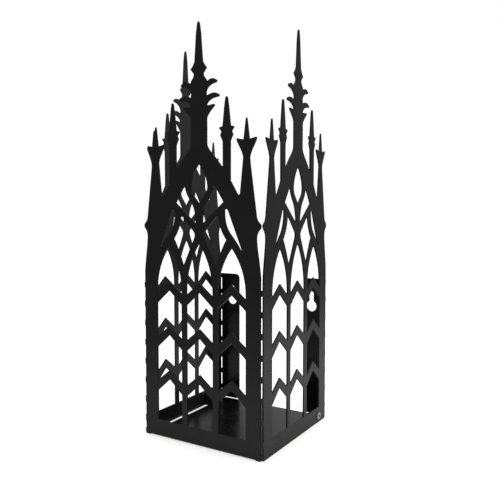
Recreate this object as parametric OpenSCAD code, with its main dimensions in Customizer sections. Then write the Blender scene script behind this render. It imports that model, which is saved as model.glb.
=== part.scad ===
// Wall or table holder for one candle: three pierced panels, two wall tabs and
// a floor, folded from one steel sheet and closed with two blind rivets.
// The origin is at the middle of the foot, +Z is up and the front faces -Y.

/* [Sheet] */
// Width of each of the three panels, which is also the depth of the body
panel_w = 104; // [100:1:130]
// Thickness of the steel sheet
sheet_t = 1.2; // [0.8:0.1:1.8]
// Inside radius of every bend
bend_r = 0.5; // [0.3:0.1:0.9]
// Radius of the cut corners at the foot of the panels
foot_corner_r = 0.8; // [0.5:0.1:4]

/* [Bars and columns] */
// Height of the plain band along the foot of each panel
band_h = 12.5; // [11.5:0.5:20]
// Width of each of the three columns of openings
column_w = 22.6; // [19:0.2:24]
// Width of the upright between two columns
mullion_w = 4.7; // [3:0.1:6]
// Height of the crown of the lowest bar above the foot band
first_bar_h = 39.6; // [34:0.2:46]
// Height from one row of bars to the next
bar_pitch = 33.1; // [28:0.1:38]
// Upright thickness of a bar at its crown
bar_t = 7.1; // [5:0.1:9]
// Rise of the upper edge of a bar from its ends to its crown
bar_rise = 9.1; // [6:0.1:12]
// Rise of the lower edge of a bar from its ends to its crown
bar_under_rise = 9.9; // [6:0.1:13]

/* [Arches and tracery] */
// Depth of the springing line of the arches below the crown of the top bar
spring_drop = 6.3; // [5:0.1:8]
// Rise of the middle arch above the springing line
middle_arch_h = 34.2; // [30:0.2:36]
// Rise of the two side arches above the springing line
side_arch_h = 31.5; // [28:0.2:33]
// Height from the springing line to the foot of the central shaft
tracery_h = 104; // [98:1:120]

/* [Spire and pinnacles] */
// Width of the central shaft
spire_w = 13.8; // [11:0.2:16]
// Height of the central shaft, its leaves, collar and needle
spire_h = 84; // [70:1:110]
// Distance of the inner pinnacles from the centre line
inner_pinnacle_x = 23.3; // [21.5:0.1:25]
// Width of the widest collar of an inner pinnacle
inner_collar_w = 12; // [10:0.2:14]
// Height of an inner pinnacle above the valley beside the central shaft
inner_pinnacle_h = 46.7; // [36:0.5:60]
// Distance of the outer pinnacles from the panel's edge
outer_pinnacle_in = 12.8; // [11:0.1:13.5]
// Width across the shoulders of an outer pinnacle
outer_shoulder_w = 15.6; // [12:0.2:18]
// Height of the head of an outer pinnacle above its neck
outer_pinnacle_h = 26.3; // [20:0.5:36]

/* [Folds] */
// Height of the top of the front corner folds above the springing line
fold_rise = 4; // [3:0.1:8]
// Height of the bridge at the top of each fold
top_bridge_h = 3.9; // [3:0.1:6]
// Height of the bridge at the foot of each front fold
foot_bridge_h = 3; // [2:0.1:6]
// Height of the other bridges of a fold
bridge_h = 4.2; // [2:0.1:6]
// Height of the slits between the bridges
slit_h = 10.4; // [6:0.1:16]

/* [Wall tabs] */
// Width of a wall tab, from the outer face of its side panel
tab_w = 20; // [19.5:0.5:30]
// Height of the lower edge of the tabs
tab_foot_z = 1.5; // [0.5:0.1:6]
// Depth of the upper edge of the tabs below the top of the front folds
tab_top_drop = 1.5; // [0.2:0.1:6]
// Radius of the free corners of the tabs
tab_corner_r = 4; // [1:0.5:7]
// Radius of the round part of a keyhole
keyhole_r = 4.5; // [4:0.1:6]
// Width of the slot above the round part of a keyhole
keyslot_w = 4; // [3:0.1:6.5]
// Height of the slot's upper centre above the centre of the round part
keyslot_h = 10.2; // [8:0.1:14]
// Distance of the keyhole from the outer face of its side panel
keyhole_in = 13; // [12:0.1:13.4]
// Height of the centre of the round part of a keyhole
keyhole_z = 91.6; // [60:0.2:94]

/* [Floor] */
// Distance from the floor's rear edge to the rear face of the tabs
floor_back_gap = 2.2; // [1.9:0.1:4]
// Gap between each side of the floor and the side panel
floor_side_gap = 4.5; // [2:0.1:8]
// Width of the cut at each end of the bend between the front panel and the floor
relief_w = 0.3; // [0.2:0.1:1]
// Distance of the front end of a floor ear from its rivet
ear_front = 13; // [6:0.5:20]
// Distance of the rear end of a floor ear from its rivet
ear_rear = 9; // [6:0.5:10]
// Height of the top of a floor ear
ear_top_z = 10; // [9:0.1:11]
// Radius of the upper corners of a floor ear
ear_corner_r = 2; // [0.5:0.1:3]

/* [Rivets] */
// Distance of a rivet from the rear face of the tabs
rivet_back = 14; // [13:0.5:30]
// Height of a rivet
rivet_z = 5.3; // [5:0.1:6]
// Diameter of a rivet's shank
rivet_d = 3.2; // [2.4:0.1:4]
// Gap round the shank in its hole
rivet_hole_gap = 0.05; // [0.03:0.01:0.15]
// Diameter of a rivet's flange
rivet_flange_d = 6.2; // [5:0.1:7.5]
// Thickness of a rivet's flange at its middle
rivet_flange_t = 0.9; // [0.6:0.1:1.3]
// Diameter of the swollen end of a rivet
rivet_bulb_d = 4.8; // [4.2:0.1:5.6]
// Length of the swollen end of a rivet
rivet_bulb_l = 2.6; // [1.5:0.1:4]
// Diameter of the stub of the broken pin inside a rivet
pin_d = 1.8; // [1.2:0.1:2]
// Gap round the stub of the pin
pin_gap = 0.04; // [0.02:0.01:0.1]
// Depth of the end of the stub below the flange
pin_recess = 0.5; // [0.2:0.1:0.8]
// Diameter of the head of the pin
pin_head_d = 3; // [2.4:0.1:4]
// Length of the head of the pin
pin_head_l = 1.1; // [0.6:0.1:2]

/* [Hidden] */

// Sides of a true circle, and straight steps in each curved stretch of an outline
circle_sides = 96;
curve_steps = 8;
// How far a cut runs past the sheet, and a bar past its column
overrun = 1;

half_w = panel_w / 2;
// A panel's flat part ends this far inside the outer face it bends towards
bend_out = bend_r + sheet_t;
flat_half = half_w - bend_out;
inner_half = half_w - sheet_t;

column_half = column_w / 2;
column_pitch = column_w + mullion_w;
grid_half = column_pitch + column_half;
first_crown_z = band_h + first_bar_h;
bar_rows = 3;
top_crown_z = first_crown_z + (bar_rows - 1) * bar_pitch;
spring_z = top_crown_z - spring_drop;
fold_top_z = spring_z + fold_rise;
tab_top_z = fold_top_z - tab_top_drop;

// Outlines are lists of stops. A stop of two shares is a straight step, and a
// stop of four is a curve, with its pull point first and its end after that.
// Tracery: shares of the half width of the columns, and of tracery_h.
diamond_shares = [[0.36, 0.176], [0.12, 0.36], [0.078, 0.388, 0.127, 0.41], [0.378, 0.509],
    [0.404, 0.514], [0.427, 0.508], [0.446, 0.428, 0.593, 0.358], [0.482, 0.293, 0.37, 0.176]];
kite_shares = [[0.085, 0.467], [0.078, 0.474], [0.085, 0.563, 0.189, 0.615],
    [0.308, 0.671, 0.319, 0.712], [0.339, 0.714], [0.368, 0.704], [0.534, 0.608]];
vesica_shares = [[0, 0.601], [0.14, 0.662], [0.187, 0.686, 0.187, 0.715], [0.171, 0.793, 0, 0.865]];
leaf_shares = [[0.918, 0.293], [0.63, 0.552], [0.601, 0.567, 0.562, 0.556],
    [0.549, 0.448, 0.705, 0.388], [0.816, 0.342, 0.898, 0.293]];
// Outer edge above the fold: shares of the neck's inset, and of tracery_h.
edge_shares = [[0.228, 0.183, 0.366, 0.269], [0.485, 0.341, 0.475, 0.375],
    [0.465, 0.4, 0.307, 0.419], [0.188, 0.432], [0.109, 0.448, 0.178, 0.462], [0.337, 0.477],
    [0.465, 0.489, 0.505, 0.519], [0.97, 0.851], [1, 0.889]];
edge_turn_share = 0.125;
neck_share = 0.889;
// Valley between the pinnacles: shares of its width, and of tracery_h.
valley_shares = [[0.75, 0.66], [0.66, 0.65], [0.56, 0.656], [0, 0.747]];
// Gable beside the central shaft: shares of its width, and of tracery_h.
gable_shares = [[0.93, 0.843], [0.53, 0.904], [0.23, 0.945], [0, 0.976, 0, 1]];
gable_foot_share = 0.843;
// Central shaft: shares of half its width, and of spire_h.
spire_shares = [[1, 0.208], [1.1, 0.238, 1.97, 0.3], [1.91, 0.314], [1.04, 0.307],
    [0.985, 0.309], [1.19, 0.364, 2.49, 0.368], [2.54, 0.383], [1.91, 0.424, 1, 0.387],
    [0.96, 0.398], [0.94, 0.419], [1.1, 0.475, 2.2, 0.485], [2.26, 0.5],
    [1.67, 0.543, 1.01, 0.501], [0.96, 0.519], [0.62, 0.555], [0.59, 0.576], [0.75, 0.593],
    [1.01, 0.617], [0.71, 0.645], [0.51, 0.674], [0.41, 0.774], [0.295, 0.905],
    [0.17, 0.971], [0.11, 1, 0, 1]];
// Inner pinnacle: shares of half its collar, and of its height.
inner_shares = [[0.53, 0.353], [0.68, 0.4], [0.88, 0.445], [0.72, 0.488], [0.73, 0.505],
    [1, 0.544], [0.97, 0.563], [0.55, 0.576], [0.3, 0.857], [0.17, 0.968], [0.11, 1, 0, 1]];
inner_shaft_share = 0.517;
// Outer pinnacle: shares of half its shoulders, and of its height.
outer_shares = [[0.37, 0.08, 0.55, 0.19], [0.9, 0.38], [0.99, 0.43, 1, 0.475], [0.96, 0.5],
    [0.3, 0.46], [0.08, 0.95], [0.05, 1, 0, 1]];
outer_neck_share = 0.333;

neck_in = outer_pinnacle_in - outer_shoulder_w / 2 * outer_neck_share;
outer_x = half_w - outer_pinnacle_in;
outer_neck_half = outer_shoulder_w / 2 * outer_neck_share;
inner_shaft_half = inner_collar_w / 2 * inner_shaft_share;
valley_start_x = inner_pinnacle_x + inner_shaft_half;
valley_end_x = outer_x - outer_neck_half;
gable_end_x = inner_pinnacle_x - inner_shaft_half;
gable_foot_z = spring_z + tracery_h * gable_foot_share;
neck_z = spring_z + tracery_h * neck_share;
shaft_foot_z = spring_z + tracery_h;

rivet_y = half_w - rivet_back;
rivet_hole_r = rivet_d / 2 + rivet_hole_gap;
// A rivet holds two sheets, and its swollen end lies behind them
grip = 2 * sheet_t;
bulb_end = grip + rivet_bulb_l;
// Rivet's flange and swollen end: shares of their radius, and of their length.
flange_shares = [[0.55, 1], [0.72, 0.92], [0.88, 0.7], [0.97, 0.4], [1, 0.2], [1, 0]];
bulb_shares = [[0.94, 0], [1, 0.12], [1, 0.5], [0.93, 0.72], [0.8, 0.9], [0.66, 1]];
keyhole_x = half_w - keyhole_in;
// The floor's two tongues reach out to here, where the bends of the ears begin
tongue_half = inner_half - bend_out;
floor_half = inner_half - floor_side_gap;
floor_back_y = half_w - floor_back_gap;
ear_front_y = rivet_y - ear_front;
ear_w = ear_front + ear_rear;

sheet_colour = [0.16, 0.16, 0.17];
rivet_colour = [0.72, 0.73, 0.75];
pin_colour = [0.3, 0.3, 0.32];

// Points of a curve from a to b that is pulled towards c, without its start
function curve(a, c, b) = [for (i = [1:curve_steps]) let (t = i / curve_steps)
    a * (1 - t) * (1 - t) + c * 2 * t * (1 - t) + b * t * t];

// One stop of an outline moved to its origin and stretched to its sizes
function placed(stop, origin, sizes) = len(stop) == 4
    ? [origin[0] + stop[0] * sizes[0], origin[1] + stop[1] * sizes[1],
       origin[0] + stop[2] * sizes[0], origin[1] + stop[3] * sizes[1]]
    : [origin[0] + stop[0] * sizes[0], origin[1] + stop[1] * sizes[1]];

function placed_stops(stops, origin, sizes) = [for (stop = stops) placed(stop, origin, sizes)];

// Points along a list of stops, from the point start
function trace(start, stops, i = 0) = i == len(stops) ? [] :
    let (stop = stops[i], end = len(stop) == 4 ? [stop[2], stop[3]] : stop)
    concat(len(stop) == 4 ? curve(start, [stop[0], stop[1]], end) : [end],
        trace(end, stops, i + 1));

// An outline's right half joined to its mirror image
function mirrored(points) = concat(points, [for (i = [len(points) - 1:-1:0])
    if (points[i][0] > 0) [-points[i][0], points[i][1]]]);

// Points of an opening of the tracery, on the right of the centre line
function tracery_points(stops) =
    let (placed_list = placed_stops(stops, [0, spring_z], [grid_half, tracery_h]))
    concat([placed_list[0]], trace(placed_list[0], [for (i = [1:len(stops) - 1]) placed_list[i]]));

module both_sides() {
    children();
    mirror([1, 0]) children();
}

// Pointed arch on a springing line at zero
module pointed_arch(rise) {
    arch_r = (rise * rise + column_half * column_half) / column_w;
    intersection() {
        translate([column_half - arch_r, 0]) circle(r = arch_r, $fn = circle_sides);
        translate([arch_r - column_half, 0]) circle(r = arch_r, $fn = circle_sides);
        translate([-column_half, 0]) square([column_w, rise + overrun]);
    }
}

// Crooked bar across one column, with its crown at zero
module crooked_bar() {
    reach = column_half + overrun;
    drop = bar_rise * reach / column_half;
    under_drop = bar_t + bar_under_rise * reach / column_half;
    polygon([[0, 0], [reach, -drop], [reach, -under_drop], [0, -bar_t], [-reach, -under_drop],
        [-reach, -drop]]);
}

// Openings of one column, from the foot band to its arch
module column_openings(arch_rise) {
    difference() {
        union() {
            translate([-column_half, band_h]) square([column_w, spring_z - band_h]);
            translate([0, spring_z]) pointed_arch(arch_rise);
        }
        for (row = [0:bar_rows - 1])
            translate([0, first_crown_z + row * bar_pitch]) crooked_bar();
    }
}

module openings() {
    column_openings(middle_arch_h);
    both_sides() translate([column_pitch, 0]) column_openings(side_arch_h);
    both_sides() for (stops = [diamond_shares, kite_shares, leaf_shares])
        polygon(tracery_points(stops));
    polygon(mirrored(tracery_points(vesica_shares)));
}

// Right side of an upright ornament, from its foot to its tip
function ornament_side(shares, foot, half_width, height) =
    concat([foot], trace(foot, placed_stops(shares, [0, foot[1]], [half_width, height])));

// Both sides of a pinnacle round x, from the right of its foot to the left
function pinnacle(x, side) = [for (point = mirrored(side)) [x + point[0], point[1]]];

// Right half of the panel's outline, from its foot up the edge to the spire's tip
function panel_outline() =
    let (foot_turn = [flat_half - foot_corner_r, 0],
        edge_start = [flat_half, spring_z + tracery_h * edge_turn_share],
        valley_sizes = [valley_end_x - valley_start_x, tracery_h],
        gable_sizes = [gable_end_x - spire_w / 2, tracery_h])
    concat([foot_turn],
        curve(foot_turn, [flat_half, 0], [flat_half, foot_corner_r]), [edge_start],
        trace(edge_start, placed_stops(edge_shares, [half_w, spring_z], [-neck_in, tracery_h])),
        pinnacle(outer_x, ornament_side(outer_shares, [outer_neck_half, neck_z],
            outer_shoulder_w / 2, outer_pinnacle_h)),
        trace([valley_end_x, neck_z],
            placed_stops(valley_shares, [valley_start_x, spring_z], valley_sizes)),
        pinnacle(inner_pinnacle_x, ornament_side(inner_shares, [inner_shaft_half, gable_foot_z],
            inner_collar_w / 2, inner_pinnacle_h)),
        trace([gable_end_x, gable_foot_z],
            placed_stops(gable_shares, [spire_w / 2, spring_z], gable_sizes)),
        trace([spire_w / 2, shaft_foot_z],
            placed_stops(spire_shares, [0, shaft_foot_z], [spire_w / 2, spire_h])));

// Whole panel, flat, with its foot at zero
module panel_face() {
    difference() {
        polygon(mirrored(panel_outline()));
        openings();
    }
}

// Front panel, whose foot makes room for the bend to the floor between its two ends
module front_panel() {
    bend_half = floor_half + relief_w;
    color(sheet_colour)
    translate([0, -inner_half, 0]) rotate([90, 0, 0]) linear_extrude(sheet_t)
        difference() {
            panel_face();
            translate([-bend_half, -overrun]) square([2 * bend_half, bend_out + overrun]);
        }
}

// Panel across Y whose outer face lies at x, with its rivet hole
module side_panel(x) {
    color(sheet_colour)
    difference() {
        translate([x, 0, 0]) rotate([90, 0, 90]) linear_extrude(sheet_t) panel_face();
        translate([x - overrun, rivet_y, rivet_z]) rotate([0, 90, 0])
            cylinder(r = rivet_hole_r, h = sheet_t + 2 * overrun, $fn = circle_sides);
    }
}

module left_panel() { side_panel(-half_w); }
module right_panel() { side_panel(inner_half); }

// Quarter turn of sheet round an upright bend axis
module bend(height) {
    rotate_extrude(angle = 90, $fn = circle_sides) translate([bend_r, 0]) square([sheet_t, height]);
}

// Bridges that are left between the slits of a fold, from the top down
module fold_bridges(foot_z, top_z) {
    pitch = slit_h + bridge_h;
    first_z = top_z - top_bridge_h;
    translate([0, 0, first_z]) bend(top_bridge_h);
    for (z = [first_z - pitch : -pitch : foot_z])
        translate([0, 0, z]) bend(bridge_h);
}

// Upright fold at one corner of the plan, turned to face outwards
module corner_fold(x_side, y_side, turn, foot_z, top_z) {
    color(sheet_colour)
    translate([x_side * flat_half, y_side * flat_half, 0]) rotate([0, 0, turn])
        fold_bridges(foot_z, top_z);
}

// Front fold, whose lowest bridge starts where the panels' feet are round
module front_fold(x_side, turn) {
    corner_fold(x_side, -1, turn, bend_out, fold_top_z);
    color(sheet_colour)
    translate([x_side * flat_half, -flat_half, foot_corner_r]) rotate([0, 0, turn])
        bend(foot_bridge_h);
}

module front_left_fold() { front_fold(-1, 180); }
module front_right_fold() { front_fold(1, 270); }
module left_rear_fold() { corner_fold(-1, 1, 90, tab_foot_z, tab_top_z); }
module right_rear_fold() { corner_fold(1, 1, 0, tab_foot_z, tab_top_z); }

// Plate with two rounded corners on its right side
module rounded_plate(width, height, corner_r) {
    square([width - corner_r, height]);
    translate([0, corner_r]) square([width, height - 2 * corner_r]);
    for (y = [corner_r, height - corner_r])
        translate([width - corner_r, y]) circle(r = corner_r, $fn = circle_sides);
}

// Wall tab of the left side, with its keyhole
module tab() {
    color(sheet_colour)
    difference() {
        translate([-flat_half, half_w, tab_foot_z]) rotate([90, 0, 0]) linear_extrude(sheet_t)
            rounded_plate(tab_w - bend_out, tab_top_z - tab_foot_z, tab_corner_r);
        translate([-keyhole_x, half_w + overrun, keyhole_z]) rotate([90, 0, 0]) {
            cylinder(r = keyhole_r, h = sheet_t + 2 * overrun, $fn = circle_sides);
            translate([0, keyslot_h, 0])
                cylinder(d = keyslot_w, h = sheet_t + 2 * overrun, $fn = circle_sides);
            translate([-keyslot_w / 2, 0, 0])
                cube([keyslot_w, keyslot_h, sheet_t + 2 * overrun]);
        }
    }
}

module left_wall_tab() { tab(); }
module right_wall_tab() { mirror([1, 0, 0]) tab(); }

// Floor with a tongue at each side that carries its ear
module floor_plate() {
    color(sheet_colour)
    linear_extrude(sheet_t) {
        translate([-floor_half, -flat_half]) square([2 * floor_half, flat_half + floor_back_y]);
        translate([-tongue_half, ear_front_y]) square([2 * tongue_half, ear_w]);
    }
}

// Plain bend along the front, from the front panel to the floor
module front_floor_fold() {
    color(sheet_colour)
    translate([-floor_half, -flat_half, bend_out]) rotate([180, 0, 0]) rotate([90, 0, 90])
        bend(2 * floor_half);
}

// Ear of the left side, turned up from the floor against the side panel
module floor_ear() {
    color(sheet_colour)
    difference() {
        translate([-inner_half, rivet_y + ear_rear, bend_out]) rotate([90, 0, 90]) rotate(90)
            linear_extrude(sheet_t) rounded_plate(ear_top_z - bend_out, ear_w, ear_corner_r);
        translate([-inner_half - overrun, rivet_y, rivet_z]) rotate([0, 90, 0])
            cylinder(r = rivet_hole_r, h = sheet_t + 2 * overrun, $fn = circle_sides);
    }
}

module left_floor_ear() { floor_ear(); }
module right_floor_ear() { mirror([1, 0, 0]) floor_ear(); }

// Bend of the left side, from the floor up to its ear
module ear_fold() {
    color(sheet_colour)
    translate([-tongue_half, ear_front_y, bend_out]) rotate([-90, 0, 0])
        rotate([0, 0, 90]) bend(ear_w);
}

module left_ear_fold() { ear_fold(); }
module right_ear_fold() { mirror([1, 0, 0]) ear_fold(); }

// Blind rivet whose flange seats on a face at zero, with its shank along +Z
module rivet_body() {
    bore_r = pin_d / 2 + pin_gap;
    shank_r = rivet_d / 2;
    flange_r = rivet_flange_d / 2;
    bulb_r = rivet_bulb_d / 2;
    rotate_extrude($fn = circle_sides)
        polygon(concat([[bore_r, -rivet_flange_t]],
            [for (at = flange_shares) [at[0] * flange_r, -at[1] * rivet_flange_t]],
            [[shank_r, 0], [shank_r, grip]],
            [for (at = bulb_shares) [at[0] * bulb_r, grip + at[1] * rivet_bulb_l]],
            [[bore_r, bulb_end]]));
}

// Stub of the pin that pulled the rivet tight, with its head at the far end
module rivet_pin() {
    stub_end = pin_recess - rivet_flange_t;
    translate([0, 0, stub_end]) cylinder(d = pin_d, h = bulb_end - stub_end, $fn = circle_sides);
    translate([0, 0, bulb_end])
        cylinder(d1 = pin_head_d, d2 = pin_d, h = pin_head_l, $fn = circle_sides);
}

// Puts a rivet piece on the outer face of both side panels, pointing inwards
module at_both_rivets() {
    translate([-half_w, rivet_y, rivet_z]) rotate([0, 90, 0]) children();
    mirror([1, 0, 0]) translate([-half_w, rivet_y, rivet_z]) rotate([0, 90, 0]) children();
}

module rivet_bodies() { color(rivet_colour) at_both_rivets() rivet_body(); }
module rivet_pins() { color(pin_colour) at_both_rivets() rivet_pin(); }

front_panel();
left_panel();
right_panel();
front_left_fold();
front_right_fold();
left_wall_tab();
right_wall_tab();
left_rear_fold();
right_rear_fold();
floor_plate();
front_floor_fold();
left_floor_ear();
right_floor_ear();
left_ear_fold();
right_ear_fold();
rivet_bodies();
rivet_pins();
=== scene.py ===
"""Studio scene of a folded steel candle holder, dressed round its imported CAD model.

The holder is one pierced and powder coated sheet, closed with two blind rivets.
Everything is in metres, in the frame of the CAD model: the foot's middle is the
origin, +Z is up and the front faces -Y.
"""

import logging
import math
from dataclasses import dataclass, replace
from enum import Enum

import bmesh
import bpy
from mathutils import Matrix, Vector


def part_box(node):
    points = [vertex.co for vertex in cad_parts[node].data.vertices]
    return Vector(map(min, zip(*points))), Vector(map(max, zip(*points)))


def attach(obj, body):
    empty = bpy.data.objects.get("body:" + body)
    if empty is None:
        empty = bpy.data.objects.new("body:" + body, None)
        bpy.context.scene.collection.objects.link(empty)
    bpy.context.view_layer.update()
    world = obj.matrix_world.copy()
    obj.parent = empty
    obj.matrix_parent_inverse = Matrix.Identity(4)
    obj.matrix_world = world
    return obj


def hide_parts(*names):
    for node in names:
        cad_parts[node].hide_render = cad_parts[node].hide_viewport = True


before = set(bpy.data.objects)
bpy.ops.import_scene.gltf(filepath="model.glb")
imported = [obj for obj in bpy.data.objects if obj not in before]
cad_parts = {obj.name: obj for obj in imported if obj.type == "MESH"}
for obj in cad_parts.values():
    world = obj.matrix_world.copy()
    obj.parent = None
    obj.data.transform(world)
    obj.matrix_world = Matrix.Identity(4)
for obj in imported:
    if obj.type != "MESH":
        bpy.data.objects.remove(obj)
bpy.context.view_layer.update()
BODY = "root"
MM = 0.001

log = logging.getLogger("candle_holder")

Socket = bpy.types.NodeSocket
Point = tuple[float, float, float]
Colour = tuple[float, float, float]
Span = tuple[float, float]
Ring = tuple[float, float]

WHITE: Colour = (1.0, 1.0, 1.0)
BLACK: Colour = (0.0, 0.0, 0.0)
UNIT: Span = (0.0, 1.0)


class Side(Enum):
    """Which side panel a rivet holds, as the sign of its X."""

    LEFT = -1
    RIGHT = 1


class CoatZone(Enum):
    """Where the coat lies on the sheet, as the index of its material slot."""

    FACE = 0
    CUT_EDGE = 1


class Rays(Enum):
    """Kinds of rays that are lit apart, as the Light Path node names them."""

    CAMERA = "Is Camera Ray"
    GLOSSY = "Is Glossy Ray"
    TRANSMISSION = "Is Transmission Ray"


# Shader building

@dataclass
class Board:
    """A node tree, with short ways to add nodes and links to it.

    Attributes:
        tree: The node tree that is written.
    """

    tree: bpy.types.NodeTree

    def node(self, kind: str, **settings: object) -> bpy.types.Node:
        """Adds a node.

        Args:
            kind: Blender's type name of the node.
            **settings: Properties of the node and their values.

        Returns:
            The new node.
        """
        made = self.tree.nodes.new(kind)
        for name, value in settings.items():
            setattr(made, name, value)
        return made

    def feed(self, target: Socket, value: object) -> None:
        """Gives a socket a link or a fixed value.

        Args:
            target: The input socket.
            value: An output socket, a number, a vector or a colour.
        """
        if isinstance(value, bpy.types.NodeSocket):
            self.tree.links.new(value, target)
        elif isinstance(value, tuple) and target.type == "RGBA":
            target.default_value = (*value[:3], 1.0)
        else:
            target.default_value = value

    def math(self, operation: str, first: object, second: object) -> Socket:
        """Joins two values.

        Args:
            operation: Name of the Math node's operation.
            first: The first value or output socket.
            second: The second value or output socket.

        Returns:
            The output socket.
        """
        made = self.node("ShaderNodeMath", operation=operation)
        self.feed(made.inputs[0], first)
        self.feed(made.inputs[1], second)
        return made.outputs[0]

    def vector_math(self, operation: str, first: object, second: object) -> Socket:
        """Joins two vectors to one number.

        Args:
            operation: Name of the Vector Math node's operation.
            first: The first vector or output socket.
            second: The second vector or output socket.

        Returns:
            The socket of the number.
        """
        made = self.node("ShaderNodeVectorMath", operation=operation)
        self.feed(made.inputs[0], first)
        self.feed(made.inputs[1], second)
        return made.outputs["Value"]

    def spread(self, value: Socket, start: Span, end: Span,
               smooth: bool = False) -> Socket:
        """Carries a value from one range to another, held at both ends.

        Args:
            value: The output socket to carry over.
            start: Lowest and highest value that come in.
            end: The values that they become.
            smooth: Whether the ends are eased.

        Returns:
            The output socket.
        """
        easing = "SMOOTHSTEP" if smooth else "LINEAR"
        made = self.node("ShaderNodeMapRange", clamp=True, interpolation_type=easing)
        for socket, number in zip(made.inputs[1:5], (*start, *end)):
            socket.default_value = number
        self.feed(made.inputs[0], value)
        return made.outputs[0]

    def noise(self, place: Socket, size: float, detail: float = 2.0) -> Socket:
        """Adds a noise pattern.

        Args:
            place: Where the pattern is read.
            size: Size of its features in metres.
            detail: How many finer layers it has.

        Returns:
            The socket of its value, from 0 to 1.
        """
        made = self.node("ShaderNodeTexNoise", noise_dimensions="3D")
        self.feed(made.inputs["Vector"], place)
        made.inputs["Scale"].default_value = 1.0 / size
        made.inputs["Detail"].default_value = detail
        return made.outputs["Fac"]

    def bump(self, height: Socket, distance: float,
             under: Socket | None = None) -> Socket:
        """Adds a bump.

        Args:
            height: The height pattern, from 0 to 1.
            distance: What a height of 1 stands for, in metres.
            under: The normal that the bump lies on.

        Returns:
            The socket of the new normal.
        """
        made = self.node("ShaderNodeBump")
        made.inputs["Distance"].default_value = distance
        self.feed(made.inputs["Height"], height)
        if under is not None:
            self.feed(made.inputs["Normal"], under)
        return made.outputs["Normal"]

    def tint(self, share: Socket, first: Colour | Socket, second: Colour) -> Socket:
        """Blends two colours.

        Args:
            share: How much of the second colour shows, from 0 to 1.
            first: The colour at 0.
            second: The colour at 1.

        Returns:
            The socket of the blended colour.
        """
        made = self.node("ShaderNodeMix", data_type="RGBA")
        self.feed(made.inputs["Factor"], share)
        self.feed(made.inputs["A"], first)
        self.feed(made.inputs["B"], second)
        return made.outputs["Result"]


def fresh_material(
        name: str) -> tuple[bpy.types.Material, Board, bpy.types.Node, Socket]:
    """Makes an empty material with a Principled shader.

    Args:
        name: The material's name.

    Returns:
        The material, its board, its shader node and the socket of object coordinates.
    """
    material = bpy.data.materials.new(name)
    material.use_nodes = True
    material.node_tree.nodes.clear()
    board = Board(material.node_tree)
    shader = board.node("ShaderNodeBsdfPrincipled")
    output = board.node("ShaderNodeOutputMaterial")
    board.feed(output.inputs["Surface"], shader.outputs[0])
    place = board.node("ShaderNodeTexCoord").outputs["Object"]
    return material, board, shader, place


# Finishes

@dataclass(frozen=True)
class PowderCoat:
    """Satin black powder coat: a melted skin with a slight orange peel.

    Attributes:
        name: The material's name.
        dark: Colour of the thickest coat.
        pale: Colour where the coat is thinner or rubbed.
        roughness: Lowest and highest roughness.
        sheen_level: Strength of its mirror light, that of glass at 0.5.
        peel_size: Width of the orange peel's waves.
        peel_height: Height of the orange peel.
        grain_size: Width of the powder's grain.
        grain_height: Height of the grain.
        sag_size: Width of the sheet's own slow waves.
        sag_height: Height of those waves.
        smudge_size: Size of the patches that handling leaves duller.
        smudge_band: Values of the pattern between which such a patch fades in.
        smudge_paling: How much of the pale colour a patch shows.
        smudge_dulling: Share of the roughness that follows the patches. The rest
            follows the orange peel.
        fleck_band: Values of the grain between which its tops fade in.
        fleck_paling: How much of the pale colour the tops of the grain show.
    """

    name: str = "powder_coat"
    dark: Colour = (0.0024, 0.0024, 0.0026)
    pale: Colour = (0.0044, 0.0044, 0.0046)
    roughness: Span = (0.23, 0.30)
    sheen_level: float = 0.5
    peel_size: float = 1.3 * MM
    peel_height: float = 0.006 * MM
    grain_size: float = 0.28 * MM
    grain_height: float = 0.0010 * MM
    sag_size: float = 30 * MM
    sag_height: float = 0.02 * MM
    smudge_size: float = 20 * MM
    smudge_band: Span = (0.42, 0.68)
    smudge_paling: float = 0.35
    smudge_dulling: float = 0.65
    fleck_band: Span = (0.35, 0.75)
    fleck_paling: float = 0.5

    def material(self) -> bpy.types.Material:
        """Builds the material.

        Returns:
            The finished material.
        """
        material, board, shader, place = fresh_material(self.name)
        peel = board.noise(place, self.peel_size)
        grain = board.noise(place, self.grain_size, detail=1.0)
        sag = board.noise(place, self.sag_size, detail=1.0)
        smudge = board.noise(place, self.smudge_size, detail=4.0)
        smudge = board.spread(smudge, self.smudge_band, UNIT, smooth=True)
        fleck = board.spread(grain, self.fleck_band, (0.0, self.fleck_paling))
        thin = board.math("MULTIPLY", smudge, self.smudge_paling)
        share = board.math("ADD", thin, fleck)
        board.feed(shader.inputs["Base Color"], board.tint(share, self.dark, self.pale))
        dull = board.math("ADD", board.math("MULTIPLY", smudge, self.smudge_dulling),
                          board.math("MULTIPLY", peel, 1.0 - self.smudge_dulling))
        board.feed(shader.inputs["Roughness"], board.spread(dull, UNIT, self.roughness))
        normal = board.bump(sag, self.sag_height)
        normal = board.bump(peel, self.peel_height, normal)
        normal = board.bump(grain, self.grain_height, normal)
        board.feed(shader.inputs["Normal"], normal)
        shader.inputs["Specular IOR Level"].default_value = self.sheen_level
        return material


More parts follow.
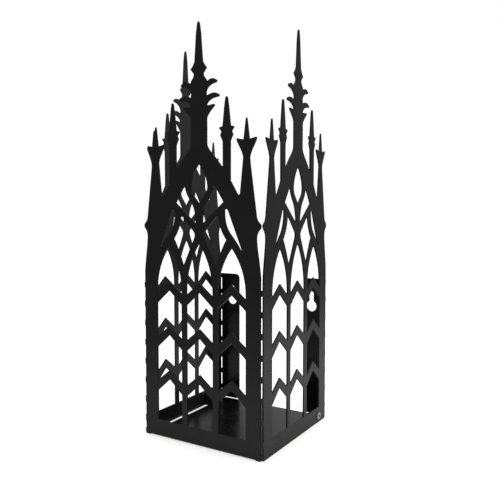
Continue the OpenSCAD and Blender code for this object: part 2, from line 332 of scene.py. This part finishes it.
@dataclass(frozen=True)
class RivetAluminium:
    """Bare drawn aluminium, rubbed bright, with painted shade in its mouth and on its
    outer rim.

    Attributes:
        name: The material's name.
        bright: Colour of the rubbed ring.
        dull: Colour of its pits.
        oil_and_painted_shade: Colour of the painted shade in the mouth and on the rim.
        roughness: Lowest and highest roughness.
        pit_size: Size of the tumbling marks.
        pit_height: Depth of the tumbling marks.
        pit_band: Values of the marks between which the bright metal fades in.
        mouth_radii: Radii between which the painted shade of the mouth fades into the
            ring.
        rim_radii: Radii between which the ring fades into the painted shade of the rim.
        rim_painted_shade: How much painted shade the rim shows.
    """

    name: str = "rivet_aluminium"
    bright: Colour = (0.90, 0.90, 0.91)
    dull: Colour = (0.62, 0.62, 0.64)
    oil_and_painted_shade: Colour = (0.045, 0.045, 0.047)
    roughness: Span = (0.34, 0.55)
    pit_size: float = 0.35 * MM
    pit_height: float = 0.006 * MM
    pit_band: Span = (0.38, 0.62)
    mouth_radii: Span = (1.15 * MM, 1.40 * MM)
    rim_radii: Span = (2.60 * MM, 2.85 * MM)
    rim_painted_shade: float = 0.8

    def material(self, axis: Point) -> bpy.types.Material:
        """Builds the material.

        Args:
            axis: A point of the rivets' common axis, which runs along X.

        Returns:
            The finished material.
        """
        material, board, shader, place = fresh_material(self.name)
        pits = board.noise(place, self.pit_size, detail=3.0)
        wear = board.spread(pits, self.pit_band, UNIT, smooth=True)
        across = board.node("ShaderNodeMapping")
        board.feed(across.inputs["Vector"], place)
        across.inputs["Scale"].default_value = (0.0, 1.0, 1.0)
        radius = board.vector_math("DISTANCE", across.outputs["Vector"],
                                   (0.0, *axis[1:]))
        # Painted shade: the mouth's recess and the sloping outer rim are darkened in
        # the colour.
        mouth = board.spread(radius, self.mouth_radii, UNIT[::-1], smooth=True)
        rim = board.spread(radius, self.rim_radii, (0.0, self.rim_painted_shade), smooth=True)
        metal = board.tint(wear, self.dull, self.bright)
        board.feed(shader.inputs["Base Color"],
                   board.tint(board.math("MAXIMUM", mouth, rim), metal, self.oil_and_painted_shade))
        board.feed(shader.inputs["Roughness"],
                   board.spread(wear, UNIT, self.roughness[::-1]))
        board.feed(shader.inputs["Normal"], board.bump(pits, self.pit_height))
        shader.inputs["Metallic"].default_value = 1.0
        return material


@dataclass(frozen=True)
class PinSteel:
    """Oiled steel of the broken pins, torn grey at the break.

    Attributes:
        name: The material's name.
        oil_and_painted_shade: Colour of the drawn wire.
        torn: Colour of the torn end.
        roughness: Lowest and highest roughness.
        tear_size: Size of the torn grain.
        tear_height: Depth of the torn grain.
        tear_band: Values of the grain between which the torn colour fades in.
    """

    name: str = "pin_steel"
    oil_and_painted_shade: Colour = (0.05, 0.05, 0.055)
    torn: Colour = (0.13, 0.13, 0.135)
    roughness: Span = (0.38, 0.62)
    tear_size: float = 0.22 * MM
    tear_height: float = 0.02 * MM
    tear_band: Span = (0.40, 0.62)

    def material(self) -> bpy.types.Material:
        """Builds the material.

        Returns:
            The finished material.
        """
        material, board, shader, place = fresh_material(self.name)
        tear = board.noise(place, self.tear_size, detail=4.0)
        share = board.spread(tear, self.tear_band, UNIT)
        board.feed(shader.inputs["Base Color"],
                   board.tint(share, self.oil_and_painted_shade, self.torn))
        board.feed(shader.inputs["Roughness"],
                   board.spread(share, UNIT, self.roughness))
        board.feed(shader.inputs["Normal"], board.bump(tear, self.tear_height))
        shader.inputs["Metallic"].default_value = 1.0
        return material


@dataclass(frozen=True)
class PaleFloor:
    """Matt table top that the camera sees as plain white round the holder's shadow.

    For gloss, a patch of light is painted into the table's colour: brightest beside the
    holder, darker out into the room.

    Attributes:
        name: The material's name.
        colour: Colour of the table.
        roughness: Its roughness.
        sheen_level: Strength of its mirror light, that of glass at 0.5.
        fibre_size: Size of the fine fibres in its surface.
        fibre_shade: How light the darkest fibres are, against the table's colour.
        lift: What the camera sees on top of the light that the table sends back.
        painted_light_middle: Middle of the painted patch of light.
        painted_light_reach: Distance at which the painted patch of light has faded to
            the room's dimness.
        painted_light_shares: Shares of the table's colour that gloss shows, near and
            far, which paint the patch of light.
    """

    name: str = "pale_floor"
    colour: Colour = (0.80, 0.80, 0.79)
    roughness: float = 0.95
    sheen_level: float = 0.1
    fibre_size: float = 0.9 * MM
    fibre_shade: float = 0.985
    lift: float = 0.36
    painted_light_middle: Point = (0.18, 0.10, 0.0)
    painted_light_reach: float = 0.75
    painted_light_shares: Span = (0.68, 0.24)

    def material(self) -> bpy.types.Material:
        """Builds the material.

        Returns:
            The finished material.
        """
        material, board, shader, place = fresh_material(self.name)
        path = board.node("ShaderNodeLightPath")
        fibre = board.noise(place, self.fibre_size)
        shaded = tuple(self.fibre_shade * channel for channel in self.colour)
        # Painted patch of light: seen by gloss, the table's colour darkens with
        # distance from its middle.
        away = board.vector_math("DISTANCE", place, self.painted_light_middle)
        painted_light = board.spread(away, (0.0, self.painted_light_reach), self.painted_light_shares, smooth=True)
        painted_dimming = board.math("MULTIPLY", path.outputs[Rays.GLOSSY.value],
                            board.math("SUBTRACT", 1.0, painted_light))
        table = board.tint(painted_dimming, board.tint(fibre, self.colour, shaded), BLACK)
        board.feed(shader.inputs["Base Color"], table)
        shader.inputs["Roughness"].default_value = self.roughness
        shader.inputs["Specular IOR Level"].default_value = self.sheen_level
        board.feed(shader.inputs["Emission Color"], WHITE)
        board.feed(shader.inputs["Emission Strength"],
                   board.math("MULTIPLY", path.outputs[Rays.CAMERA.value], self.lift))
        return material


# Work on one mesh at a time

def deselect() -> None:
    """Leaves edit mode and clears the selection."""
    if bpy.context.object is not None and bpy.context.object.mode != "OBJECT":
        bpy.ops.object.mode_set(mode="OBJECT")
    bpy.ops.object.select_all(action="DESELECT")


def pick(piece: bpy.types.Object) -> None:
    """Makes one object the only selected and the active one.

    Args:
        piece: The object.
    """
    deselect()
    piece.select_set(True)
    bpy.context.view_layer.objects.active = piece


def apply_modifier(piece: bpy.types.Object, kind: str, **settings: object) -> None:
    """Adds a modifier and applies it.

    Args:
        piece: The object it works on.
        kind: Blender's type name of the modifier.
        **settings: Properties of the modifier and their values.
    """
    pick(piece)
    modifier = piece.modifiers.new(kind.lower(), kind)
    for name, value in settings.items():
        setattr(modifier, name, value)
    bpy.ops.object.modifier_apply(modifier=modifier.name)


def finish_piece(piece: bpy.types.Object, name: str, slot: str,
                 *nodes: str) -> bpy.types.Object:
    """Names a piece, ties it to the body and hides the CAD nodes that it stands for.

    Args:
        piece: The shaped and dressed piece.
        name: The piece's name.
        slot: The record's material slot for its finish. It is not used.
        *nodes: The CAD nodes that it stands for.

    Returns:
        The same object, with its place in its mesh.
    """
    pick(piece)
    bpy.ops.object.transform_apply(location=True, rotation=True, scale=True)
    piece.name = name
    piece.data.name = name
    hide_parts(*nodes)
    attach(piece, BODY)
    return piece


# Sub-assemblies

@dataclass
class FoldedSheet:
    """The one steel sheet: three panels, two wall tabs, the floor and its ears.

    The CAD model holds its flats and bends apart. Here they are joined to one
    skin, so that no seam shows at a bend, and its cut edges are softened as
    the melted coat softens them.

    Attributes:
        coat: The finish of the sheet.
        flats: CAD nodes of the flat parts.
        bends: CAD nodes of the bends.
        part_lines: Distances from the middle of the lines that part the faces, each
            opening crossed by one, so that no face has a hole in it.
        flat_half: Where the panels' flats end and the upright bends begin.
        fold_half: Half the length of the bend between the front panel and the floor.
        tongue_half: Where the floor's tongues end and the bends of its ears begin.
        bend_top: Height of the bends along the floor.
        inner_half: Distance of the side panels' inner faces from the middle.
        edge_round: Width of the softened cut edge.
        edge_steps: Number of faces across the softened edge.
        edge_roughness: Lowest and highest roughness of the coat on the cut edges.
        edge_peel_share: How high its orange peel is, against that of the faces.
        sharp_angle: Edges that turn by more than this are corners.
        flat_angle: Faces that turn by less than this are one flat face.
        flat_weight: How far the flat faces lead the shading of the rounds, of 100.
        weld_gap: Points closer than this are one point.
        cut_gap: Points closer than this to a part line are on it.
    """

    coat: PowderCoat
    flats: tuple[str, ...] = (
        "front_panel", "left_panel", "right_panel", "left_wall_tab", "right_wall_tab",
        "floor_plate", "left_floor_ear", "right_floor_ear")
    bends: tuple[str, ...] = (
        "front_left_fold", "front_right_fold", "left_rear_fold", "right_rear_fold",
        "front_floor_fold", "left_ear_fold", "right_ear_fold")
    part_lines: tuple[float, ...] = tuple(
        at * MM for at in (-39, -38, -27.3, -10, 0, 10, 27.3, 38, 39))
    flat_half: float = 50.29 * MM
    fold_half: float = 46.31 * MM
    tongue_half: float = 49.09 * MM
    bend_top: float = 1.71 * MM
    inner_half: float = 50.79 * MM
    edge_round: float = 0.15 * MM
    edge_steps: int = 2
    edge_roughness: Span = (0.36, 0.46)
    edge_peel_share: float = 0.5
    sharp_angle: float = math.radians(40)
    flat_angle: float = math.radians(0.05)
    flat_weight: int = 100
    weld_gap: float = 0.002 * MM
    cut_gap: float = 0.001 * MM

    def clean(self, piece: bpy.types.Object) -> None:
        """Welds loose triangles and takes out the edges inside flat faces.

        Args:
            piece: The object to clean.
        """
        pick(piece)
        bpy.ops.object.mode_set(mode="EDIT")
        bpy.ops.mesh.select_all(action="SELECT")
        bpy.ops.mesh.remove_doubles(threshold=self.weld_gap)
        bpy.ops.mesh.dissolve_limited(angle_limit=self.flat_angle)
        bpy.ops.object.mode_set(mode="OBJECT")

    def copy_of(self, node: str) -> bpy.types.Object:
        """Copies a CAD node's mesh to a new welded object.

        Args:
            node: The CAD node's name.

        Returns:
            The new object.
        """
        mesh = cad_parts[node].data.copy()
        mesh.materials.clear()
        piece = bpy.data.objects.new("blank_" + node, mesh)
        bpy.context.scene.collection.objects.link(piece)
        self.clean(piece)
        return piece

    def join(self) -> bpy.types.Object:
        """Joins the flats and bends to one closed skin.

        Returns:
            The joined sheet.
        """
        sheet, *others = [self.copy_of(node) for node in self.flats + self.bends]
        for other in others:
            apply_modifier(sheet, "BOOLEAN", operation="UNION", solver="EXACT",
                           object=other)
            bpy.data.objects.remove(other)
        self.clean(sheet)
        self.part_faces(sheet)
        return sheet

    def part_faces(self, sheet: bpy.types.Object) -> None:
        """Parts the pierced faces along upright lines, so that none has a hole in it.

        Args:
            sheet: The joined sheet.
        """
        pick(sheet)
        bpy.ops.object.mode_set(mode="EDIT")
        for across in (Vector((1, 0, 0)), Vector((0, 1, 0))):
            for at in self.part_lines:
                bpy.ops.mesh.select_all(action="SELECT")
                bpy.ops.mesh.bisect(plane_co=at * across, plane_no=across,
                                    threshold=self.cut_gap)
                bpy.ops.mesh.mark_seam()
        bpy.ops.mesh.select_all(action="SELECT")
        bpy.ops.mesh.dissolve_limited(angle_limit=self.flat_angle, delimit={"SEAM"})
        bpy.ops.object.mode_set(mode="OBJECT")

    def in_bend(self, place: Vector) -> bool:
        """Tells whether a place is in a bend, whose ends stay crisp.

        Args:
            place: A point of the sheet.

        Returns:
            Whether it lies in an upright bend or in a bend along the floor.
        """
        across, along = abs(place.x), abs(place.y)
        low = place.z < self.bend_top
        upright = across > self.flat_half and along > self.flat_half
        at_front = low and place.y < -self.flat_half and across < self.fold_half
        at_ear = low and self.tongue_half < across < self.inner_half
        return upright or at_front or at_ear

    def is_cut_rim(self, edge: bmesh.types.BMEdge) -> bool:
        """Tells whether an edge is a cut rim of the sheet, outside the bends.

        Args:
            edge: An edge of the joined sheet.

        Returns:
            Whether the melted coat rounds it.
        """
        middle = (edge.verts[0].co + edge.verts[1].co) / 2
        return (edge.is_convex and edge.calc_face_angle(0.0) > self.sharp_angle
                and not self.in_bend(middle))

    def soften(self, sheet: bpy.types.Object) -> None:
        """Rounds the cut rims and shades the flats flat and the bends smooth.

        Args:
            sheet: The joined sheet.
        """
        pick(sheet)
        bpy.ops.object.mode_set(mode="EDIT")
        bpy.ops.mesh.select_all(action="DESELECT")
        bpy.ops.mesh.select_mode(type="EDGE")
        net = bmesh.from_edit_mesh(sheet.data)
        for edge in net.edges:
            edge.select_set(self.is_cut_rim(edge))
        bmesh.update_edit_mesh(sheet.data)
        bpy.ops.transform.edge_bevelweight(value=1.0)
        bpy.ops.object.mode_set(mode="OBJECT")
        apply_modifier(sheet, "BEVEL", width=self.edge_round, segments=self.edge_steps,
                       limit_method="WEIGHT", use_clamp_overlap=False,
                       material=CoatZone.CUT_EDGE.value)
        pick(sheet)
        bpy.ops.object.shade_smooth_by_angle(angle=self.sharp_angle)
        apply_modifier(sheet, "WEIGHTED_NORMAL", keep_sharp=True,
                       weight=self.flat_weight)

    def build(self) -> bpy.types.Object:
        """Builds and dresses the sheet.

        Returns:
            The finished piece.
        """
        sheet = self.join()
        for zone in CoatZone:
            sheet.data.materials.append(self.coat_on(zone).material())
        self.soften(sheet)
        return finish_piece(sheet, "folded_sheet", "coated_sheet",
                            *self.flats, *self.bends)

    def coat_on(self, zone: CoatZone) -> PowderCoat:
        """Tells how the coat lies on a zone of the sheet.

        Args:
            zone: The zone.

        Returns:
            The full coat for the faces, a thinner and duller one for the cut edges.
        """
        if zone is CoatZone.FACE:
            return self.coat
        return replace(self.coat, name=self.coat.name + "_edge",
                       roughness=self.edge_roughness,
                       peel_height=self.coat.peel_height * self.edge_peel_share)


@dataclass
class BlindRivet:
    """A pulled blind rivet: its aluminium body and the torn stub of its steel pin.

    Its rings are pairs of a radius and a height above the panel's outer face, in
    millimetres.

    Attributes:
        side: The side panel that it holds.
        body_finish: The finish of the body.
        pin_finish: The finish of the pin.
        body_rings: From the mouth round the flange and the shank to the swollen end.
        pin_rings: From the middle of the torn end to the middle of the pin's head.
        sides: How many sides a ring has.
        torn_height: Points of the pin above this are part of its torn end.
        tear: How far the points of the torn end are shifted.
        seed: Start of the tear's random shifts.
        sharp_angle: Edges that turn by more than this are corners.
        weld_gap: Points closer than this are one point.
    """

    side: Side
    body_finish: RivetAluminium
    pin_finish: PinSteel
    body_rings: tuple[Ring, ...] = (
        (0.94, 0.58), (1.02, 0.72), (1.16, 0.84), (1.34, 0.90), (1.60, 0.90),
        (1.72, 0.87), (1.80, 0.82), (1.92, 0.81), (2.04, 0.84), (2.16, 0.85),
        (2.42, 0.77), (2.70, 0.62), (2.92, 0.44), (3.05, 0.26), (3.10, 0.12),
        (3.08, 0.03), (3.02, 0.0), (1.72, 0.0), (1.60, -0.08), (1.60, -2.40),
        (2.10, -2.41), (2.30, -2.52), (2.39, -2.75), (2.40, -3.15), (2.36, -3.60),
        (2.24, -4.10), (2.02, -4.55), (1.80, -4.85), (1.58, -5.0), (0.94, -5.0),
        (0.94, 0.58))
    pin_rings: tuple[Ring, ...] = (
        (0.10, 0.18), (0.28, 0.22), (0.46, 0.31), (0.62, 0.38), (0.76, 0.35),
        (0.86, 0.24), (0.90, 0.10), (0.90, -4.98), (1.36, -5.0), (1.48, -5.06),
        (1.50, -5.20), (1.46, -5.50), (1.30, -5.78), (1.02, -5.98), (0.66, -6.08),
        (0.20, -6.1))
    sides: int = 48
    torn_height: float = 0.15 * MM
    tear: float = 0.05 * MM
    seed: int = 5
    sharp_angle: float = math.radians(35)
    weld_gap: float = 0.002 * MM

    def turn(self, rings: tuple[Ring, ...]) -> bpy.types.Object:
        """Draws a round shell out of one circle, ring by ring.

        Args:
            rings: Radius and height of each ring.

        Returns:
            The shell, along +Z.
        """
        deselect()
        radius, height = rings[0]
        bpy.ops.mesh.primitive_circle_add(vertices=self.sides, radius=radius * MM,
                                          location=(0, 0, height * MM))
        shell = bpy.context.object
        bpy.ops.object.mode_set(mode="EDIT")
        bpy.ops.mesh.select_all(action="SELECT")
        for next_radius, next_height in rings[1:]:
            rise = (next_height - height) * MM
            grow = next_radius / radius
            bpy.ops.mesh.extrude_region_move(
                TRANSFORM_OT_translate={"value": (0, 0, rise)})
            bpy.ops.transform.resize(value=(grow, grow, 1),
                                     center_override=(0, 0, next_height * MM))
            radius, height = next_radius, next_height
        bpy.ops.object.mode_set(mode="OBJECT")
        return shell

    def close(self, shell: bpy.types.Object) -> None:
        """Welds a shell shut and turns its faces outwards.

        Args:
            shell: The shell.
        """
        pick(shell)
        bpy.ops.object.transform_apply(location=True, rotation=True, scale=True)
        bpy.ops.object.mode_set(mode="EDIT")
        bpy.ops.mesh.select_all(action="SELECT")
        bpy.ops.mesh.remove_doubles(threshold=self.weld_gap)
        bpy.ops.mesh.select_all(action="DESELECT")
        bpy.ops.mesh.select_mode(type="EDGE")
        bpy.ops.mesh.select_non_manifold(extend=False)
        bpy.ops.mesh.edge_face_add()
        bpy.ops.mesh.select_all(action="SELECT")
        bpy.ops.mesh.normals_make_consistent(inside=False)
        bpy.ops.object.mode_set(mode="OBJECT")

    def foot(self) -> Point:
        """Finds where the rivet sits, from the CAD model.

        Returns:
            The middle of the flange's foot, on the panel's outer face.
        """
        low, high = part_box("rivet_bodies")
        face = self.side.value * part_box("right_panel")[1][0]
        return face, (low[1] + high[1]) / 2, (low[2] + high[2]) / 2

    def seat(self, piece: bpy.types.Object) -> None:
        """Turns a piece outwards and moves it onto its side panel.

        Args:
            piece: The piece, along +Z.
        """
        pick(piece)
        bpy.ops.object.shade_smooth_by_angle(angle=self.sharp_angle)
        piece.rotation_euler = (0, self.side.value * math.pi / 2, 0)
        piece.location = self.foot()

    def build_body(self) -> bpy.types.Object:
        """Builds the aluminium body.

        Returns:
            The finished piece.
        """
        body = self.turn(self.body_rings)
        self.close(body)
        self.seat(body)
        body.data.materials.append(self.body_finish.material(self.foot()))
        return finish_piece(body, self.side.name.lower() + "_rivet_body",
                            "rivet_metal", "rivet_bodies")

    def build_pin(self) -> bpy.types.Object:
        """Builds the stub of the pin, with its torn end in the mouth of the body.

        Returns:
            The finished piece.
        """
        pin = self.turn(self.pin_rings)
        self.close(pin)
        pick(pin)
        bpy.ops.object.mode_set(mode="EDIT")
        bpy.ops.mesh.select_all(action="DESELECT")
        bpy.ops.mesh.select_mode(type="VERT")
        net = bmesh.from_edit_mesh(pin.data)
        for point in net.verts:
            point.select_set(point.co.z > self.torn_height)
        bmesh.update_edit_mesh(pin.data)
        bpy.ops.transform.vertex_random(offset=self.tear, uniform=0.0, normal=0.0,
                                        seed=self.seed)
        bpy.ops.object.mode_set(mode="OBJECT")
        self.seat(pin)
        pin.data.materials.append(self.pin_finish.material())
        return finish_piece(pin, self.side.name.lower() + "_rivet_pin",
                            "pin_steel", "rivet_pins")


@dataclass
class Viewpoint:
    """The camera, as the photograph was taken.

    Attributes:
        place: Where the lens is.
        yaw: Turn to the left of the view along +Y, in radians.
        pitch: Tilt above the horizon, in radians.
        roll: Turn about the line of sight, in radians.
        focal_pixels: Focal length in pixels of the photograph.
        picture_pixels: Width of the photograph in pixels.
        sensor_width: Width of the sensor in millimetres.
        near_limit: Distance within which nothing is seen.
    """

    place: Point = (239.31 * MM, -375.30 * MM, 163.63 * MM)
    yaw: float = 0.5476
    pitch: float = -0.0547
    roll: float = 0.0006
    focal_pixels: float = 568.46
    picture_pixels: float = 500.0
    sensor_width: float = 36.0
    near_limit: float = 10 * MM

    def build(self) -> None:
        """Adds the camera and makes it the scene's own."""
        deselect()
        turn = (Matrix.Rotation(self.yaw, 4, "Z")
                @ Matrix.Rotation(math.pi / 2 + self.pitch, 4, "X")
                @ Matrix.Rotation(self.roll, 4, "Z"))
        bpy.ops.object.camera_add(location=self.place, rotation=turn.to_euler())
        camera = bpy.context.object
        camera.name = "photo_camera"
        camera.data.sensor_width = self.sensor_width
        camera.data.lens = self.focal_pixels / self.picture_pixels * self.sensor_width
        camera.data.clip_start = self.near_limit
        bpy.context.scene.camera = camera


@dataclass
class Softbox:
    """One soft lamp.

    Attributes:
        name: The lamp's name.
        place: Where it hangs.
        aim: What it points at.
        size: Width of the lamp.
        power: Its power in watts.
    """

    name: str
    place: Point
    aim: Point
    size: float
    power: float

    def build(self) -> None:
        """Adds the lamp and points it at its aim."""
        deselect()
        bpy.ops.object.light_add(type="AREA", location=self.place)
        lamp = bpy.context.object
        lamp.name = self.name
        lamp.data.shape = "DISK"
        lamp.data.size = self.size
        lamp.data.energy = self.power
        away = Vector(self.place) - Vector(self.aim)
        lamp.rotation_euler = away.to_track_quat("Z", "Y").to_euler()


@dataclass(frozen=True)
class PaleArea:
    """A pale part of the room, as gloss shows it.

    Attributes:
        way: Direction from the holder to its middle.
        band: Cosines of the angles from it between which it fades in.
        glow: Its brightness.
    """

    way: Point
    band: Span
    glow: float


@dataclass
class Studio:
    """White table, soft lamps and a dim room round them.

    Attributes:
        floor: The finish of the table.
        floor_width: Width of the table.
        floor_drop: How far the table lies below the holder's foot.
        lamps: The soft lamps.
        fill: Light of the room on dull surfaces.
        room_glow: Brightness of the room, as gloss shows it.
        pale_areas: The window beside the table and the pale wall behind it.
    """

    floor: PaleFloor = PaleFloor()
    floor_width: float = 8.0
    floor_drop: float = 0.02 * MM
    lamps: tuple[Softbox, ...] = (
        Softbox("top_softbox", place=(0.15, -0.10, 1.30), aim=(0, 0, 0.10),
                size=1.1, power=5.0),
        Softbox("right_softbox", place=(1.15, 0.25, 0.75), aim=(0, 0, 0.12),
                size=0.7, power=2.0),
    )
    fill: float = 0.90
    room_glow: float = 0.18
    pale_areas: tuple[PaleArea, ...] = (
        PaleArea(way=(0.763, 0.640, 0.087), band=(0.927, 0.985), glow=0.50),
        PaleArea(way=(-0.270, 0.865, 0.423), band=(0.914, 0.985), glow=0.48),
    )

    def build_floor(self) -> None:
        """Lays the table top."""
        deselect()
        bpy.ops.mesh.primitive_plane_add(size=self.floor_width,
                                         location=(0, 0, -self.floor_drop))
        floor = bpy.context.object
        floor.name = "table_top"
        bpy.ops.object.transform_apply(location=True, rotation=True, scale=True)
        floor.data.materials.append(self.floor.material())

    def build_room(self) -> None:
        """Makes the room: white for the camera, dim with pale areas for gloss."""
        world = bpy.data.worlds.new("studio_room")
        bpy.context.scene.world = world
        world.use_nodes = True
        world.node_tree.nodes.clear()
        board = Board(world.node_tree)
        path = board.node("ShaderNodeLightPath")
        way = board.node("ShaderNodeTexCoord").outputs["Generated"]
        glow = self.room_glow
        for area in self.pale_areas:
            towards = board.vector_math("DOT_PRODUCT", way, area.way)
            spot = board.spread(towards, area.band, (self.room_glow, area.glow),
                                smooth=True)
            glow = board.math("MAXIMUM", glow, spot)
        gloss = board.math("MAXIMUM", path.outputs[Rays.GLOSSY.value],
                           path.outputs[Rays.TRANSMISSION.value])
        for_gloss = board.math("MULTIPLY", gloss,
                               board.math("SUBTRACT", glow, self.fill))
        shine = board.math("ADD", for_gloss, self.fill)
        gap = board.math("SUBTRACT", 1.0, shine)
        lift = board.math("MULTIPLY", path.outputs[Rays.CAMERA.value], gap)
        backdrop = board.node("ShaderNodeBackground")
        board.feed(backdrop.inputs["Color"], WHITE)
        board.feed(backdrop.inputs["Strength"], board.math("ADD", shine, lift))
        output = board.node("ShaderNodeOutputWorld")
        board.feed(output.inputs["Surface"], backdrop.outputs[0])

    def build(self) -> None:
        """Builds the table, the room and the lamps."""
        self.build_floor()
        self.build_room()
        for lamp in self.lamps:
            lamp.build()
        bpy.context.scene.view_settings.view_transform = "Standard"


def report(piece: bpy.types.Object) -> None:
    """Logs a finished piece's name and its number of triangles.

    Args:
        piece: The finished piece.
    """
    piece.data.calc_loop_triangles()
    log.info("%s: %d triangles", piece.name, len(piece.data.loop_triangles))


def main() -> None:
    """Builds the camera, the holder and the studio in order."""
    logging.basicConfig(level=logging.INFO, format="%(name)s: %(message)s")
    Viewpoint().build()
    report(FoldedSheet(coat=PowderCoat()).build())
    for side in Side:
        rivet = BlindRivet(side, RivetAluminium(), PinSteel())
        report(rivet.build_body())
        report(rivet.build_pin())
    Studio().build()


if __name__ == "__main__":
    main()
